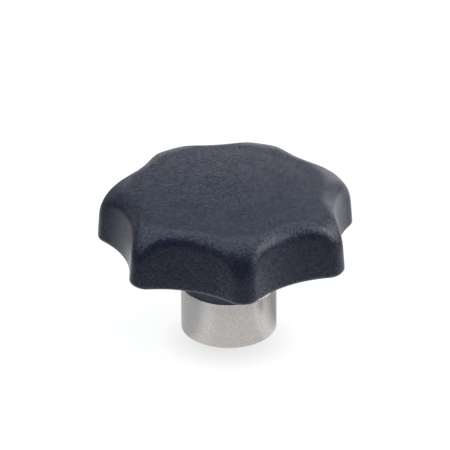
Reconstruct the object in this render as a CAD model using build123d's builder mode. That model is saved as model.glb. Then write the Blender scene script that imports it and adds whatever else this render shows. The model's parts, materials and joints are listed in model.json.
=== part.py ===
"""Hand knob: a seven-lobed star head moulded in plastic round a stainless steel threaded bush.

Millimetres, +Z up. The origin is the centre of the bush's end face. The knob stands on that face,
and the stud that it turns enters there from below. One lobe points along -Y.
"""

import os
from math import cos, radians, tan

from build123d import *

# Head, outside
across_lobes = 63.0
lobe_count = 7
lobe_radius = 4.5
scallop_depth = 5.1
head_height = 15.2
crown_height = 1.05
side_draft = 4.0
turned_edge_round = 9.0
lobe_land = 0.18
rim_round = 1.0

# Head, underside
wall_thickness = 3.0
roof_thickness = 3.6
rib_thickness = 2.2
rib_draft = 1.0
rib_recess = 1.5

# Collar and bush
collar_diameter = 23.0
collar_length = 10.7
bush_length = 12.0
bush_foot_chamfer = 0.5
bush_top_chamfer = 0.25

# Shank that the plastic grips
shank_diameter = 16.0
shank_length = 20.0
shank_end_chamfer = 1.0
groove_diameter = 13.4
groove_width = 3.0
groove_height = 9.0
notch_count = 20
notch_depth = 0.6
notch_width = 1.4

# Blind hole for an M12 stud
thread_core_diameter = 10.2
thread_mouth_diameter = 12.6
hole_depth = 22.0
drill_point_angle = 118.0

# Places that follow from the sizes
head_radius = across_lobes / 2
collar_radius = collar_diameter / 2
shank_radius = shank_diameter / 2
rim_z = bush_length + collar_length
top_z = rim_z + head_height
half_pitch = 180 / lobe_count
side_slope = tan(radians(side_draft))
front_lobe = -90
first_scallop = front_lobe + half_pitch

# Each scallop is an arc that touches the round ends of the two lobes beside it
lobe_centre = head_radius - lobe_radius
valley_radius = head_radius - scallop_depth
lobe_reach = lobe_centre * cos(radians(half_pitch))
scallop_radius = (
    (valley_radius**2 + lobe_centre**2 - lobe_radius**2 - 2 * lobe_reach * valley_radius)
    / (2 * (lobe_reach + lobe_radius - valley_radius))
)
scallop_centre = valley_radius + scallop_radius

# The draft narrows each lobe up to where the turned edge round starts. The rounds along the
# scallop edges fill the lobe's end there, apart from a narrow land between them
round_reach = turned_edge_round * tan(radians((90 - side_draft) / 2)) * cos(radians(side_draft))
straight_side = head_height - crown_height - round_reach
scallop_round = lobe_radius - side_slope * straight_side - lobe_land


def turned_section(radius, bottom, top, edge_round):
    """Return half the section of a crowned disc whose drafted side is widest at the bottom."""
    shoulder = top - crown_height
    shoulder_radius = radius - side_slope * (shoulder - bottom)
    with BuildSketch() as section:
        with BuildLine():
            Polyline((0, top), (0, bottom), (radius, bottom), (shoulder_radius, shoulder))
            TangentArc((0, top), (shoulder_radius, shoulder), tangent=(1, 0))
        make_face()
        fillet(vertices().sort_by(Axis.Y)[2], edge_round)
    return section.sketch


def scallop_cutters(rim_radius):
    """Return the cones that cut the scallops, with the given radius at the rim."""
    top_radius = rim_radius + side_slope * head_height
    with BuildPart() as cutters:
        with Locations(Plane.XY.offset(rim_z)):
            with PolarLocations(scallop_centre, lobe_count, start_angle=first_scallop):
                Cone(rim_radius, top_radius, head_height, align=(Align.CENTER, Align.CENTER, Align.MIN))
    return cutters.part


# Turned and notched form of the bush, before its hole is drilled
with BuildPart() as bush_blank:
    with BuildSketch(Plane.XY):
        Circle(collar_radius)
    extrude(amount=bush_length)
    chamfer(edges().sort_by(Axis.Z)[0], bush_foot_chamfer)
    chamfer(edges().sort_by(Axis.Z)[-1], bush_top_chamfer)
    with BuildSketch(Plane.XY.offset(bush_length)):
        Circle(shank_radius)
    extrude(amount=shank_length)
    chamfer(edges().sort_by(Axis.Z)[-1], shank_end_chamfer)

    # Axial notches that stop the bush from turning in the head
    with BuildSketch(Plane.XY.offset(bush_length)):
        with PolarLocations(shank_radius, notch_count):
            Rectangle(2 * notch_depth, notch_width)
    extrude(amount=shank_length, mode=Mode.SUBTRACT)

    # Groove that stops it from being pulled out
    with BuildSketch(Plane.XY.offset(bush_length + groove_height)):
        Circle(shank_diameter)
        Circle(groove_diameter / 2, mode=Mode.SUBTRACT)
    extrude(amount=groove_width, mode=Mode.SUBTRACT)


# Stainless steel bush with its blind stud hole
with BuildPart() as threaded_bush:
    add(bush_blank.part)
    mouth_depth = (thread_mouth_diameter - thread_core_diameter) / 2
    point_depth = thread_core_diameter / 2 / tan(radians(drill_point_angle / 2))
    with BuildSketch(Plane.XZ):
        with BuildLine():
            Polyline(
                (0, 0),
                (thread_mouth_diameter / 2, 0),
                (thread_core_diameter / 2, mouth_depth),
                (thread_core_diameter / 2, hole_depth),
                (0, hole_depth + point_depth),
                close=True,
            )
        make_face()
    revolve(axis=Axis.Z, mode=Mode.SUBTRACT)


# Space under the head: a star-shaped hollow round the central boss, divided by a rib to each lobe
with BuildPart() as underside:
    with BuildSketch(Plane.XZ):
        add(
            turned_section(
                head_radius - wall_thickness,
                rim_z,
                top_z - roof_thickness,
                turned_edge_round - wall_thickness,
            )
        )
    revolve(axis=Axis.Z)
    add(scallop_cutters(scallop_radius + wall_thickness), mode=Mode.SUBTRACT)
    with BuildSketch(Plane.XY.offset(rim_z)):
        Circle(collar_radius)
    extrude(amount=head_height, mode=Mode.SUBTRACT)

    # Ribs thin towards the open side and stop short of the rim
    with BuildSketch(Plane.XY.offset(top_z)):
        with PolarLocations(head_radius / 2, lobe_count, start_angle=front_lobe):
            Rectangle(head_radius, rib_thickness)
    extrude(amount=rib_recess - head_height, taper=rib_draft, mode=Mode.SUBTRACT)


# Plastic head with its collar, moulded round the bush
with BuildPart() as star_head:
    with BuildSketch(Plane.XZ):
        add(turned_section(head_radius, rim_z, top_z, turned_edge_round))
    revolve(axis=Axis.Z)
    add(scallop_cutters(scallop_radius), mode=Mode.SUBTRACT)
    scallop_edges = edges().filter_by(lambda e: e.bounding_box().size.Z > crown_height)
    fillet(scallop_edges, scallop_round)
    fillet(faces().sort_by(Axis.Z)[0].edges(), rim_round)
    add(underside.part, mode=Mode.SUBTRACT)
    with BuildSketch(Plane.XY.offset(bush_length)):
        Circle(collar_radius)
    extrude(amount=collar_length)
    add(bush_blank.part, mode=Mode.SUBTRACT)


star_head.part.label = "star_head"
threaded_bush.part.label = "threaded_bush"

os.makedirs("parts", exist_ok=True)
export_step(star_head.part, "parts/star_head.step")
export_step(threaded_bush.part, "parts/threaded_bush.step")
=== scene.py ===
"""Looks of a seven-lobed hand knob: its grained plastic head, its turned steel bush and the studio.

Metres, +Z up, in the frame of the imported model. The origin is the centre of the bush's end face,
and one lobe of the head points along -Y.
"""

import json
from math import cos, pi, radians, sin, tan

import bmesh
import bpy
from bpy.props import FloatProperty, FloatVectorProperty, IntProperty, PointerProperty, StringProperty
from bpy.types import Operator, Panel, PropertyGroup
from mathutils import Matrix, Vector


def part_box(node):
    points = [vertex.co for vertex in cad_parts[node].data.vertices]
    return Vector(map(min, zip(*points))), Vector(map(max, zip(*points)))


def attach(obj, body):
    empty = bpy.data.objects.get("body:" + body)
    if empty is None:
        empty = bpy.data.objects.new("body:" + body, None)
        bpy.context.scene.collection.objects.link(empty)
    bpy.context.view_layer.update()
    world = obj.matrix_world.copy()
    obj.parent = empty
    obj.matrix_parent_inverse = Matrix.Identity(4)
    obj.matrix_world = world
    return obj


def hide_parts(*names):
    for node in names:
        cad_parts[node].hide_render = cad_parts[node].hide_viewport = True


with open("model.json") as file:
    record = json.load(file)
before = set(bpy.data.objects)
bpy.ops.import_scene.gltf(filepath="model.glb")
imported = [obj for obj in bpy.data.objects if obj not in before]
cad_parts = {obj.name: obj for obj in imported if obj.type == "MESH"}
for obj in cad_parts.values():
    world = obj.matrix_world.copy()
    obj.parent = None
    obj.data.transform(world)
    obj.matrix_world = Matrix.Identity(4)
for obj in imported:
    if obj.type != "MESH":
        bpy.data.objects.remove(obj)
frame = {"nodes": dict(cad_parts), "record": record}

bl_info = {
    "name": "Seven-lobed hand knob",
    "version": (1, 0, 0),
    "blender": (4, 5, 0),
    "location": "3D View > Sidebar > Hand Knob",
    "description": "Dresses the frame of a moulded hand knob with its finishes and a studio",
    "category": "Add Mesh",
}

MM = 0.001

# Sizes read from the frame
HEAD_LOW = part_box("star_head")[0]
BUSH_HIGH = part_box("threaded_bush")[1]
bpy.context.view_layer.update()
BUSH_RADIUS = BUSH_HIGH.x
BUSH_LENGTH = HEAD_LOW.z
SHANK_TOP = BUSH_HIGH.z
STUD_HOLE = next(m for m in frame["record"]["mounts"] if m["name"] == "stud_hole")
HOLE_RADIUS = STUD_HOLE["dims"]["r_mm"] * MM
MOUTH_DEPTH = STUD_HOLE["pos_m"][2]
HOLE_DEPTH = MOUTH_DEPTH + STUD_HOLE["dims"]["length_mm"] * MM

# Colour of the painted shade on the floor in reflections, once round from -X through -Y and +X
PAINTED_SHADE_ROUND_THE_BUSH = (
    (0.0, "cbcdcf"),
    (0.056, "d0d2d4"),
    (0.11, "f8f6f4"),
    (0.13, "faf7f4"),
    (0.17, "efebe9"),
    (0.36, "ede9e6"),
    (0.385, "ffffff"),
    (0.43, "ffffff"),
    (0.475, "d8d8d8"),
    (0.51, "b4b4b4"),
    (0.62, "b8b8b8"),
    (0.75, "d0d0d0"),
    (0.93, "cecece"),
    (1.0, "cbcdcf"),
)

# Distances from the knob's axis on the floor in reflections: where the painted shade under the head
# gets darker, where the painted bright ring starts and ends, and where the painted light beyond it
# fades
UNDER_HEAD = (26 * MM, 33 * MM)
RING_START = (33 * MM, 36 * MM)
RING_END = (50 * MM, 63 * MM)
FADING = (72 * MM, 120 * MM)

# Pools of light on the floor in reflections: centre, inner and outer radius, strength
FLOOR_POOLS = (
    ((120 * MM, -30 * MM, 0), 30 * MM, 80 * MM, 0.72),
    ((55 * MM, 110 * MM, 0), 50 * MM, 110 * MM, 1.2),
    ((-50 * MM, -85 * MM, 0), 35 * MM, 75 * MM, 0.6),
    ((60 * MM, -80 * MM, 0), 20 * MM, 50 * MM, 0.65),
    ((-55 * MM, 50 * MM, 0), 20 * MM, 45 * MM, 0.85),
)

# Spot of painted shade on the floor to the right of the bush, in reflections, given in the same way
PAINTED_DIM_SPOT = ((25.5 * MM, -14 * MM, 0), 0, 7.5 * MM, 0.42)

# Lamp that shines straight down: place, width, height, radiance, colour
OVERHEAD = ((-0.17, 0.255, 0.9), 1.95, 1.46, 1.5, "f3ffff")

# Lamps round the knob: azimuth and elevation in degrees, distance, width, height, radiance, colour
SOFT_BOXES = {
    "right_side": (85.5, 27, 1.0, 0.87, 0.68, 4.1, "ffffff"),
    "right_back": (153, 18, 1.0, 0.4, 0.6, 0.5, "ffffff"),
    "left_side": (-80, 33, 1.0, 0.7, 0.6, 1.25, "f6fcff"),
    "left_back": (-142, 2, 1.0, 0.8, 0.4, 0.6, "ffffff"),
    "backdrop": (157, 3, 1.5, 2.0, 0.53, 1.8, "fdfaff"),
    "front": (-20, 5, 1.0, 1.6, 0.5, 0.09, "ffffff"),
}


class HeadSettings(PropertyGroup):
    """Finish of the moulded head."""

    colour: StringProperty(
        name="Colour",
        description="Colour of the plastic, as an sRGB hex value",
        default="212138",
    )
    dark_colour: StringProperty(
        name="Dark colour",
        description="Colour of the darker spots of the grain, as an sRGB hex value",
        default="151625",
    )
    grain_width: FloatProperty(
        name="Grain width",
        description="Width of one bump of the moulded grain",
        unit="LENGTH",
        default=0.3 * MM,
    )
    grain_depth: FloatProperty(
        name="Grain depth",
        description="Depth of the moulded grain",
        unit="LENGTH",
        default=0.094 * MM,
    )
    speckle_width: FloatProperty(
        name="Speckle width",
        description="Width of one of the fine spots that shine more or less than the rest",
        unit="LENGTH",
        default=0.25 * MM,
    )
    collar_length: FloatProperty(
        name="Collar length",
        description="Length of the smooth collar below the grained head",
        unit="LENGTH",
        default=10.7 * MM,
    )


class BushSettings(PropertyGroup):
    """Sizes and finish of the turned bush."""

    sides: IntProperty(
        name="Sides",
        description="Number of sides that the round stretches are divided into",
        default=240,
    )
    foot_chamfer: FloatProperty(
        name="Foot chamfer",
        description="Chamfer round the end face that the knob stands on",
        unit="LENGTH",
        default=0.2 * MM,
    )
    top_chamfer: FloatProperty(
        name="Top chamfer",
        description="Chamfer where the bush meets the plastic collar",
        unit="LENGTH",
        default=0.12 * MM,
    )
    edge_round: FloatProperty(
        name="Edge round",
        description="Small round that the turned edges were broken to",
        unit="LENGTH",
        default=0.05 * MM,
    )
    shank_radius: FloatProperty(
        name="Shank radius",
        description="Radius of the shank inside the head",
        unit="LENGTH",
        default=8 * MM,
    )
    shank_chamfer: FloatProperty(
        name="Shank chamfer",
        description="Chamfer round the upper end of the shank",
        unit="LENGTH",
        default=1 * MM,
    )
    groove_radius: FloatProperty(
        name="Groove radius",
        description="Radius at the bottom of the shank's groove",
        unit="LENGTH",
        default=6.7 * MM,
    )
    groove_width: FloatProperty(
        name="Groove width",
        description="Width of the shank's groove",
        unit="LENGTH",
        default=3 * MM,
    )
    groove_height: FloatProperty(
        name="Groove height",
        description="Height of the groove above the foot of the shank",
        unit="LENGTH",
        default=9 * MM,
    )
    notches: IntProperty(
        name="Notches",
        description="Number of axial notches round the shank",
        default=20,
    )
    notch_width: FloatProperty(
        name="Notch width",
        description="Width of one axial notch",
        unit="LENGTH",
        default=1.4 * MM,
    )
    notch_depth: FloatProperty(
        name="Notch depth",
        description="Depth of one axial notch",
        unit="LENGTH",
        default=0.6 * MM,
    )
    pitch: FloatProperty(
        name="Pitch",
        description="Pitch of the M12 thread",
        unit="LENGTH",
        default=1.75 * MM,
    )
    thread_radius: FloatProperty(
        name="Thread radius",
        description="Radius at the roots of the M12 thread",
        unit="LENGTH",
        default=6 * MM,
    )
    thread_length: FloatProperty(
        name="Thread length",
        description="Depth to which the hole is tapped",
        unit="LENGTH",
        default=20 * MM,
    )
    point_angle: FloatProperty(
        name="Point angle",
        description="Angle of the drill point at the end of the hole",
        subtype="ANGLE",
        default=radians(118),
    )
    colour: StringProperty(
        name="Colour",
        description="Colour of the stainless steel, as an sRGB hex value",
        default="d2d1d0",
    )
    dark_colour: StringProperty(
        name="Dark colour",
        description="Colour of the darker marks in the steel, as an sRGB hex value",
        default="aeacaa",
    )
    mark_width: FloatProperty(
        name="Mark width",
        description="Width of one mark that the grinding left, which is twice as long",
        unit="LENGTH",
        default=0.17 * MM,
    )


class StageSettings(PropertyGroup):
    """Camera, lamps and floor."""

    camera_azimuth: FloatProperty(
        name="Camera azimuth",
        description="Angle of the camera round the knob, from the lobe that points along -Y",
        subtype="ANGLE",
        default=radians(-6.83),
    )
    camera_elevation: FloatProperty(
        name="Camera elevation",
        description="Angle of the camera above the floor",
        subtype="ANGLE",
        default=radians(28.8),
    )
    camera_distance: FloatProperty(
        name="Camera distance",
        description="Distance from the camera to the middle of the knob",
        unit="LENGTH",
        default=1.0,
    )
    lens: FloatProperty(
        name="Lens",
        description="Focal length in mm on a sensor 36 mm wide",
        unit="CAMERA",
        default=334.0,
    )
    target_height: FloatProperty(
        name="Target height",
        description="Height of the point on the knob's axis that the camera is set out from",
        unit="LENGTH",
        default=20 * MM,
    )
    picture_centre: FloatVectorProperty(
        name="Picture centre",
        description="Where the middle of the picture lies, to the right of the target and above it",
        unit="LENGTH",
        size=2,
        default=(-0.8 * MM, 6.5 * MM),
    )
    roll: FloatProperty(
        name="Roll",
        description="Turn of the camera about its line of sight",
        subtype="ANGLE",
        default=radians(-0.34),
    )
    lamp_target_height: FloatProperty(
        name="Lamp target height",
        description="Height of the point on the knob's axis that the lamps are aimed at",
        unit="LENGTH",
        default=30 * MM,
    )
    floor_radius: FloatProperty(
        name="Floor radius",
        description="Radius of the round floor",
        unit="LENGTH",
        default=3.0,
    )


def to_linear(value):
    """Return the linear value of one sRGB channel, both from 0 to 1."""
    return value / 12.92 if value <= 0.04045 else ((value + 0.055) / 1.055) ** 2.4


def from_hex(text):
    """Return the linear RGBA of an sRGB hex colour such as "8a8f99"."""
    channels = [int(text[i : i + 2], 16) / 255 for i in (0, 2, 4)]
    return (*map(to_linear, channels), 1.0)


def add_node(tree, kind, values=None, links=None, **settings):
    """Add a node to the tree, set its properties and input values, and link its inputs."""
    node = tree.nodes.new(kind)
    for name, value in settings.items():
        setattr(node, name, value)
    for key, value in (values or {}).items():
        node.inputs[key].default_value = value
    for key, socket in (links or {}).items():
        tree.links.new(socket, node.inputs[key])
    return node


def new_material(name):
    """Return a new empty node material and its node tree."""
    material = bpy.data.materials.new(name)
    material.use_nodes = True
    material.node_tree.nodes.clear()
    return material, material.node_tree


def finish_material(tree, shader):
    """Link a shader to the material's output."""
    output = add_node(tree, "ShaderNodeOutputMaterial")
    tree.links.new(shader, output.inputs["Surface"])


def grained_polyamide(settings):
    """Glass-filled polyamide moulded in a spark-eroded mould: dark, matt and finely grained.

    The eye sees a soft broad sheen that breaks up into small glints where light grazes it. The
    collar comes from a polished part of the mould and is smooth. The spots, where glass fibres lie
    at the surface, are finer on the real plastic and are drawn just coarse enough to show.
    """
    material, tree = new_material("grained_polyamide")
    place = add_node(tree, "ShaderNodeTexCoord")
    parts = add_node(tree, "ShaderNodeSeparateXYZ", links={"Vector": place.outputs["Object"]})
    # From 0 on the collar to 1 on the head
    rim = HEAD_LOW.z + settings.collar_length
    grained = add_node(
        tree,
        "ShaderNodeMapRange",
        {"From Min": rim - 0.3 * MM, "From Max": rim + 0.1 * MM},
        {"Value": parts.outputs["Z"]},
    )
    grain = add_node(
        tree,
        "ShaderNodeTexNoise",
        {"Scale": 1 / settings.grain_width, "Detail": 1.0, "Roughness": 0.5},
        {"Vector": place.outputs["Object"]},
    )
    roughness = add_node(
        tree,
        "ShaderNodeMapRange",
        {"To Min": 0.15, "To Max": 0.27},
        {"Value": grained.outputs["Result"]},
    )
    bump = add_node(
        tree,
        "ShaderNodeBump",
        {"Distance": settings.grain_depth},
        {"Height": grain.outputs["Fac"], "Strength": grained.outputs["Result"]},
    )
    speckle = add_node(
        tree,
        "ShaderNodeTexVoronoi",
        {"Scale": 1 / settings.speckle_width},
        {"Vector": place.outputs["Object"]},
    )
    spots = add_node(tree, "ShaderNodeSeparateColor", links={"Color": speckle.outputs["Color"]})
    tint = add_node(
        tree,
        "ShaderNodeMix",
        {6: from_hex(settings.dark_colour), 7: from_hex(settings.colour)},
        {0: spots.outputs["Red"]},
        data_type="RGBA",
    )
    spread = add_node(
        tree,
        "ShaderNodeMapRange",
        {"To Min": -0.3, "To Max": 0.3},
        {"Value": spots.outputs["Red"]},
    )
    sheen = add_node(
        tree,
        "ShaderNodeMath",
        {2: 0.475},
        {0: spread.outputs["Result"], 1: grained.outputs["Result"]},
        operation="MULTIPLY_ADD",
    )
    shader = add_node(
        tree,
        "ShaderNodeBsdfPrincipled",
        {"IOR": 1.5, "Specular Tint": from_hex("ecf4ff")},
        {
            "Base Color": tint.outputs[2],
            "Roughness": roughness.outputs["Result"],
            "Specular IOR Level": sheen.outputs["Value"],
            "Normal": bump.outputs["Normal"],
        },
    )
    finish_material(tree, shader.outputs["BSDF"])
    return material


def satin_stainless(settings):
    """Stainless steel, turned and then fine ground: satin, with faint rings round the axis."""
    material, tree = new_material("satin_stainless")
    place = add_node(tree, "ShaderNodeTexCoord")
    # The marks run round the axis. The real ones are finer, and these are just coarse enough to show
    stretched = add_node(
        tree,
        "ShaderNodeMapping",
        {"Scale": (0.5, 0.5, 1.0)},
        {"Vector": place.outputs["Object"]},
    )
    marks = add_node(
        tree,
        "ShaderNodeTexNoise",
        {"Scale": 1 / settings.mark_width, "Detail": 1.0, "Roughness": 0.6},
        {"Vector": stretched.outputs["Vector"]},
    )
    contrast = add_node(
        tree,
        "ShaderNodeMapRange",
        {"From Min": 0.3, "From Max": 0.7},
        {"Value": marks.outputs["Fac"]},
    )
    tint = add_node(
        tree,
        "ShaderNodeMix",
        {6: from_hex(settings.dark_colour), 7: from_hex(settings.colour)},
        {0: contrast.outputs["Result"]},
        data_type="RGBA",
    )
    bump = add_node(
        tree,
        "ShaderNodeBump",
        {"Strength": 1.0, "Distance": 0.002 * MM},
        {"Height": marks.outputs["Fac"]},
    )
    shader = add_node(
        tree,
        "ShaderNodeBsdfPrincipled",
        {"Metallic": 1.0, "Roughness": 0.17},
        {"Base Color": tint.outputs[2], "Normal": bump.outputs["Normal"]},
    )
    finish_material(tree, shader.outputs["BSDF"])
    return material


def select_faces(test):
    """Select only the faces of the mesh in edit mode that pass the test."""
    bpy.ops.mesh.select_mode(type="FACE")
    bpy.ops.mesh.select_all(action="DESELECT")
    data = bpy.context.object.data
    mesh = bmesh.from_edit_mesh(data)
    for face in mesh.faces:
        if test(face):
            face.select_set(True)
    mesh.select_flush_mode()
    bmesh.update_edit_mesh(data)


def turn_through(radius, height, points):
    """Carry the selected round end of a turned form through a list of radii and heights."""
    for next_radius, next_height in points:
        rise = (0, 0, next_height - height)
        scale = next_radius / radius
        bpy.ops.mesh.extrude_region_move(TRANSFORM_OT_translate={"value": rise})
        bpy.ops.transform.resize(value=(scale, scale, 1), center_override=(0, 0, 0))
        radius, height = next_radius, next_height


def apply_modifier(piece, kind, **settings):
    """Add a modifier to a piece, set it and apply it."""
    bpy.context.view_layer.objects.active = piece
    bpy.ops.object.modifier_add(type=kind)
    modifier = piece.modifiers[-1]
    for name, value in settings.items():
        setattr(modifier, name, value)
    bpy.ops.object.modifier_apply(modifier=modifier.name)


def cut_away(piece, cutter):
    """Cut one mesh out of a piece and delete the cutter."""
    bpy.ops.object.select_all(action="DESELECT")
    apply_modifier(piece, "BOOLEAN", object=cutter, operation="DIFFERENCE", solver="EXACT")
    bpy.data.objects.remove(cutter)


def turned_bush(settings):
    """Turn the bush from bar: its wide lower end, its shank with a groove, and the drilled hole."""
    foot = settings.foot_chamfer
    shoulder = BUSH_LENGTH - settings.top_chamfer
    bpy.ops.object.select_all(action="DESELECT")
    bpy.ops.mesh.primitive_cylinder_add(
        vertices=settings.sides,
        radius=BUSH_RADIUS,
        depth=shoulder - foot,
        location=(0, 0, (foot + shoulder) / 2),
    )
    bush = bpy.context.object
    bush.name = "turned_bush"
    bpy.ops.object.transform_apply(location=True, rotation=False, scale=False)

    bpy.ops.object.mode_set(mode="EDIT")
    # The drill point is turned down to a tiny circle, which is then merged into one vertex
    point = 0.01 * MM
    hole = [
        (BUSH_RADIUS - foot, 0),
        (HOLE_RADIUS + MOUTH_DEPTH, 0),
        (HOLE_RADIUS, MOUTH_DEPTH),
        (HOLE_RADIUS, HOLE_DEPTH),
        (point, HOLE_DEPTH + (HOLE_RADIUS - point) / tan(settings.point_angle / 2)),
    ]
    select_faces(lambda face: face.normal.z < -0.9)
    turn_through(BUSH_RADIUS, foot, hole)
    bpy.ops.mesh.merge(type="COLLAPSE")

    shank = settings.shank_radius
    groove = BUSH_LENGTH + settings.groove_height
    groove_end = groove + settings.groove_width
    outside = [
        (BUSH_RADIUS - settings.top_chamfer, BUSH_LENGTH),
        (shank, BUSH_LENGTH),
        (shank, groove),
        (settings.groove_radius, groove),
        (settings.groove_radius, groove_end),
        (shank, groove_end),
        (shank, SHANK_TOP - settings.shank_chamfer),
        (shank - settings.shank_chamfer, SHANK_TOP),
    ]
    select_faces(lambda face: face.normal.z > 0.9)
    turn_through(BUSH_RADIUS, shoulder, outside)
    bpy.ops.object.mode_set(mode="OBJECT")
    apply_modifier(
        bush,
        "BEVEL",
        width=settings.edge_round,
        segments=2,
        limit_method="ANGLE",
        angle_limit=radians(40),
    )
    return bush


def notch_cutter(settings):
    """Return the bars that cut the axial notches into the shank, and reach past its upper end."""
    length = SHANK_TOP - BUSH_LENGTH + 2 * MM
    bpy.ops.object.select_all(action="DESELECT")
    bars = []
    for index in range(settings.notches):
        angle = 2 * pi * index / settings.notches
        bpy.ops.mesh.primitive_cube_add(
            size=1,
            location=(
                settings.shank_radius * cos(angle),
                settings.shank_radius * sin(angle),
                BUSH_LENGTH + length / 2,
            ),
            rotation=(0, 0, angle),
            scale=(2 * settings.notch_depth, settings.notch_width, length),
        )
        bars.append(bpy.context.object)
    for bar in bars:
        bar.select_set(True)
    bpy.ops.object.join()
    return bpy.context.object


def thread_cutter(settings):
    """Return the helical ridge that cuts the thread, which starts outside the open end."""
    # The flanks of a metric thread stand 60 degrees apart, and its root is an eighth of the pitch
    # wide. The ridge starts inside the bore, so that no faces lie on each other
    inner = HOLE_RADIUS - 0.3 * MM
    flank = (settings.thread_radius - inner) * tan(radians(30))
    crest = settings.pitch / 8
    start = -settings.pitch
    bpy.ops.object.select_all(action="DESELECT")
    bpy.ops.mesh.primitive_plane_add(size=1, location=(0, 0, 0))
    cutter = bpy.context.object
    bpy.ops.object.mode_set(mode="EDIT")
    mesh = bmesh.from_edit_mesh(cutter.data)
    for vertex in mesh.verts:
        outer = vertex.co.x > 0
        half = crest / 2 if outer else crest / 2 + flank
        side = 1 if vertex.co.y > 0 else -1
        vertex.co = (settings.thread_radius if outer else inner, 0, start + side * half)
    bmesh.update_edit_mesh(cutter.data)
    bpy.ops.mesh.select_all(action="SELECT")
    bpy.ops.mesh.delete(type="ONLY_FACE")
    bpy.ops.object.mode_set(mode="OBJECT")
    turns = int((settings.thread_length - start) / settings.pitch)
    apply_modifier(
        cutter,
        "SCREW",
        screw_offset=settings.pitch,
        iterations=turns,
        steps=settings.sides // 2,
        render_steps=settings.sides // 2,
    )
    bpy.ops.object.mode_set(mode="EDIT")
    bpy.ops.mesh.select_all(action="SELECT")
    bpy.ops.mesh.fill_holes(sides=4)
    bpy.ops.mesh.select_all(action="SELECT")
    bpy.ops.mesh.normals_make_consistent(inside=False)
    bpy.ops.object.mode_set(mode="OBJECT")
    return cutter


class KNOB_OT_moulded_head(Operator):
    """Give the moulded head its grained plastic"""

    bl_idname = "knob.moulded_head"
    bl_label = "Moulded head"

    def execute(self, context):
        head = frame["nodes"]["star_head"]
        head.material_slots[0].material = grained_polyamide(context.scene.knob_head)
        return {"FINISHED"}


class KNOB_OT_threaded_bush(Operator):
    """Turn the steel bush and cut its thread"""

    bl_idname = "knob.threaded_bush"
    bl_label = "Threaded bush"

    def execute(self, context):
        settings = context.scene.knob_bush
        bush = turned_bush(settings)
        cut_away(bush, notch_cutter(settings))
        cut_away(bush, thread_cutter(settings))
        bpy.context.view_layer.objects.active = bush
        bush.select_set(True)
        bpy.ops.object.shade_smooth_by_angle(angle=radians(30))
        apply_modifier(bush, "WEIGHTED_NORMAL", keep_sharp=True)
        bush.data.materials.clear()
        bush.data.materials.append(satin_stainless(settings))
        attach(bush, "root")
        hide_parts("threaded_bush")
        return {"FINISHED"}


def lit_pool(tree, place, shader, centre, inner, outer, strength):
    """Mix a round pool of even light into the floor's shader and return the mix."""
    distance = add_node(
        tree,
        "ShaderNodeVectorMath",
        {1: centre},
        {0: place.outputs["Object"]},
        operation="DISTANCE",
    )
    inside = add_node(
        tree,
        "ShaderNodeMapRange",
        {"From Min": outer, "From Max": inner},
        {"Value": distance.outputs["Value"]},
        interpolation_type="SMOOTHSTEP",
    )
    pool = add_node(tree, "ShaderNodeEmission", {"Strength": strength})
    return add_node(
        tree,
        "ShaderNodeMixShader",
        links={"Fac": inside.outputs["Result"], 1: shader.outputs[0], 2: pool.outputs["Emission"]},
    )


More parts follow.
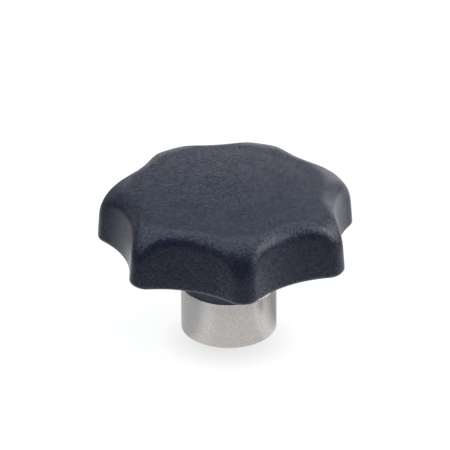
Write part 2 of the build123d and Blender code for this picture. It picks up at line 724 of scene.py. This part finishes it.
def studio_floor(radius):
    """Add a white floor that keeps the knob's shadow, with painted shade in front of its foot and
    painted light and shade in reflections.
    """
    bpy.ops.mesh.primitive_circle_add(vertices=96, radius=radius, fill_type="NGON")
    floor = bpy.context.object
    floor.name = "floor"
    material, tree = new_material("white_floor")
    place = add_node(tree, "ShaderNodeTexCoord")
    across = add_node(tree, "ShaderNodeSeparateXYZ", links={"Vector": place.outputs["Object"]})
    reach = add_node(
        tree,
        "ShaderNodeVectorMath",
        links={0: place.outputs["Object"]},
        operation="LENGTH",
    )

    # What the camera sees: white, with the knob's shadow and painted shade in front of its foot
    lit = add_node(tree, "ShaderNodeBsdfDiffuse", {"Color": from_hex("e7e7e7")})
    faint = add_node(tree, "ShaderNodeBsdfDiffuse", {"Color": from_hex("6c6c6c")})
    beyond_foot = add_node(
        tree,
        "ShaderNodeVectorMath",
        {1: (-0.7 * MM, -6 * MM, 0)},
        {0: place.outputs["Object"]},
        operation="DISTANCE",
    )
    shade = add_node(
        tree,
        "ShaderNodeMapRange",
        {"From Min": 5.7 * MM, "From Max": 16.5 * MM, "To Min": 0.71, "To Max": 0.91},
        {"Value": beyond_foot.outputs["Value"]},
    )
    glow = add_node(tree, "ShaderNodeEmission", links={"Strength": shade.outputs["Result"]})
    seen = add_node(
        tree,
        "ShaderNodeAddShader",
        links={0: faint.outputs["BSDF"], 1: glow.outputs["Emission"]},
    )

    # In reflections the floor under the head carries painted shade, deeper on one side than on the
    # other
    angle = add_node(
        tree,
        "ShaderNodeMath",
        links={0: across.outputs["Y"], 1: across.outputs["X"]},
        operation="ARCTAN2",
    )
    turn = add_node(
        tree,
        "ShaderNodeMapRange",
        {"From Min": -pi, "From Max": pi},
        {"Value": angle.outputs["Value"]},
    )
    painted_shade_round_bush = add_node(tree, "ShaderNodeValToRGB", links={"Fac": turn.outputs["Result"]})
    stops = painted_shade_round_bush.color_ramp.elements
    stops[1].position = 1.0
    for position, _ in PAINTED_SHADE_ROUND_THE_BUSH[1:-1]:
        stops.new(position)
    for stop, (_, colour) in zip(stops, PAINTED_SHADE_ROUND_THE_BUSH):
        stop.color = from_hex(colour)

    # The painted shade is darker further out
    deeper = add_node(
        tree,
        "ShaderNodeMapRange",
        {"From Min": UNDER_HEAD[0], "From Max": UNDER_HEAD[1], "To Min": 1.0, "To Max": 0.75},
        {"Value": reach.outputs["Value"]},
    )
    under = add_node(
        tree,
        "ShaderNodeEmission",
        links={"Color": painted_shade_round_bush.outputs["Color"], "Strength": deeper.outputs["Result"]},
    )
    # Painted spot of shade to the right of the bush
    shaded = lit_pool(tree, place, under, *PAINTED_DIM_SPOT)

    # A painted ring of bright light lies round that
    in_ring = add_node(
        tree,
        "ShaderNodeMapRange",
        {"From Min": RING_START[0], "From Max": RING_START[1]},
        {"Value": reach.outputs["Value"]},
    )
    ring = add_node(tree, "ShaderNodeEmission", {"Color": from_hex("f8fbff"), "Strength": 1.4})
    near = add_node(
        tree,
        "ShaderNodeMixShader",
        links={
            "Fac": in_ring.outputs["Result"],
            1: shaded.outputs["Shader"],
            2: ring.outputs["Emission"],
        },
    )

    # Beyond the ring the floor carries painted light, lighter on the right and fading outwards, apart
    # from the pools
    rightward = add_node(
        tree,
        "ShaderNodeMapRange",
        {"From Min": -45 * MM, "From Max": 20 * MM},
        {"Value": across.outputs["X"]},
        interpolation_type="SMOOTHSTEP",
    )
    sides = add_node(
        tree,
        "ShaderNodeMix",
        {6: from_hex("9ea2a4"), 7: from_hex("dcdcdc")},
        {0: rightward.outputs["Result"]},
        data_type="RGBA",
    )
    fading = add_node(
        tree,
        "ShaderNodeMapRange",
        {"From Min": FADING[0], "From Max": FADING[1], "To Min": 1.0, "To Max": 0.35},
        {"Value": reach.outputs["Value"]},
    )
    far = add_node(
        tree,
        "ShaderNodeEmission",
        links={"Color": sides.outputs[2], "Strength": fading.outputs["Result"]},
    )
    for pool in FLOOR_POOLS:
        far = lit_pool(tree, place, far, *pool)
    beyond_ring = add_node(
        tree,
        "ShaderNodeMapRange",
        {"From Min": RING_END[0], "From Max": RING_END[1]},
        {"Value": reach.outputs["Value"]},
    )
    mirrored = add_node(
        tree,
        "ShaderNodeMixShader",
        links={
            "Fac": beyond_ring.outputs["Result"],
            1: near.outputs["Shader"],
            2: far.outputs[0],
        },
    )

    path = add_node(tree, "ShaderNodeLightPath")
    by_gloss = add_node(
        tree,
        "ShaderNodeMixShader",
        links={
            "Fac": path.outputs["Is Glossy Ray"],
            1: lit.outputs["BSDF"],
            2: mirrored.outputs["Shader"],
        },
    )
    by_camera = add_node(
        tree,
        "ShaderNodeMixShader",
        links={
            "Fac": path.outputs["Is Camera Ray"],
            1: by_gloss.outputs["Shader"],
            2: seen.outputs["Shader"],
        },
    )
    finish_material(tree, by_camera.outputs["Shader"])
    floor.data.materials.append(material)


def aim(thing, target, roll=0.0):
    """Turn a lamp or the camera to look at a point."""
    direction = Vector(target) - thing.location
    turn = direction.to_track_quat("-Z", "Y").to_matrix() @ Matrix.Rotation(roll, 3, "Z")
    thing.rotation_euler = turn.to_euler()


def polar(azimuth, elevation, distance):
    """Return the point at an azimuth from -Y, an elevation and a distance."""
    level = cos(elevation) * distance
    return Vector((sin(azimuth) * level, -cos(azimuth) * level, sin(elevation) * distance))


def soft_box(name, location, target, width, height, radiance, colour):
    """Add a rectangular lamp of an even radiance that the camera doesn't see."""
    data = bpy.data.lights.new(name, "AREA")
    data.shape = "RECTANGLE"
    data.size = width
    data.size_y = height
    data.color = from_hex(colour)[:3]
    data.energy = radiance * pi * width * height
    lamp = bpy.data.objects.new(name, data)
    bpy.context.collection.objects.link(lamp)
    lamp.location = location
    lamp.visible_camera = False
    aim(lamp, target)


def studio_world():
    """Set up a white backdrop for the camera and a faint light from all round."""
    world = bpy.data.worlds.new("studio")
    bpy.context.scene.world = world
    world.use_nodes = True
    tree = world.node_tree
    tree.nodes.clear()
    path = add_node(tree, "ShaderNodeLightPath")
    room = add_node(tree, "ShaderNodeBackground", {"Color": from_hex("d8f4ff"), "Strength": 0.12})
    backdrop = add_node(tree, "ShaderNodeBackground", {"Color": from_hex("ffffff"), "Strength": 1.0})
    mixed = add_node(
        tree,
        "ShaderNodeMixShader",
        links={
            "Fac": path.outputs["Is Camera Ray"],
            1: room.outputs["Background"],
            2: backdrop.outputs["Background"],
        },
    )
    output = add_node(tree, "ShaderNodeOutputWorld")
    tree.links.new(mixed.outputs["Shader"], output.inputs["Surface"])


def studio_lamps(knob):
    """Add the lamps, the overhead one aimed straight down and the others at the knob."""
    place, *light = OVERHEAD
    soft_box("overhead", Vector(place), Vector(place) - Vector((0, 0, 1)), *light)
    for name, (azimuth, elevation, distance, *light) in SOFT_BOXES.items():
        soft_box(name, polar(radians(azimuth), radians(elevation), distance), knob, *light)


def studio_camera(stage):
    """Add the camera at the photograph's angle and framing."""
    azimuth = stage.camera_azimuth
    back = polar(azimuth, stage.camera_elevation, 1.0)
    right = Vector((cos(azimuth), sin(azimuth), 0))
    up = back.cross(right)
    target = Vector((0, 0, stage.target_height))
    data = bpy.data.cameras.new("camera")
    data.sensor_width = 36
    data.lens = stage.lens
    data.clip_start = 0.1
    data.clip_end = 10
    camera = bpy.data.objects.new("camera", data)
    bpy.context.collection.objects.link(camera)
    camera.location = target + back * stage.camera_distance
    centre = target + right * stage.picture_centre[0] + up * stage.picture_centre[1]
    aim(camera, centre, stage.roll)
    bpy.context.scene.camera = camera


class KNOB_OT_stage(Operator):
    """Set up the floor, the lamps and the camera"""

    bl_idname = "knob.stage"
    bl_label = "Stage"

    def execute(self, context):
        stage = context.scene.knob_stage
        context.scene.view_settings.view_transform = "Standard"
        studio_floor(stage.floor_radius)
        studio_world()
        studio_lamps(Vector((0, 0, stage.lamp_target_height)))
        studio_camera(stage)
        return {"FINISHED"}


class KNOB_PT_panel(Panel):
    """The knob's operators, in the sidebar"""

    bl_idname = "KNOB_PT_panel"
    bl_label = "Hand Knob"
    bl_space_type = "VIEW_3D"
    bl_region_type = "UI"
    bl_category = "Hand Knob"

    def draw(self, context):
        for operator in OPERATORS:
            self.layout.operator(operator.bl_idname)


GROUPS = (
    (HeadSettings, "knob_head"),
    (BushSettings, "knob_bush"),
    (StageSettings, "knob_stage"),
)
OPERATORS = (KNOB_OT_moulded_head, KNOB_OT_threaded_bush, KNOB_OT_stage)


def register():
    """Register the classes and put their settings on the scene."""
    for group, name in GROUPS:
        bpy.utils.register_class(group)
        setattr(bpy.types.Scene, name, PointerProperty(type=group))
    for operator in OPERATORS:
        bpy.utils.register_class(operator)
    bpy.utils.register_class(KNOB_PT_panel)


def unregister():
    """Take the classes and their settings away again."""
    bpy.utils.unregister_class(KNOB_PT_panel)
    for operator in reversed(OPERATORS):
        bpy.utils.unregister_class(operator)
    for group, name in reversed(GROUPS):
        delattr(bpy.types.Scene, name)
        bpy.utils.unregister_class(group)


def main():
    """Make every piece and the stage."""
    register()
    bpy.ops.knob.moulded_head()
    bpy.ops.knob.threaded_bush()
    bpy.ops.knob.stage()


if __name__ == "__main__":
    main()
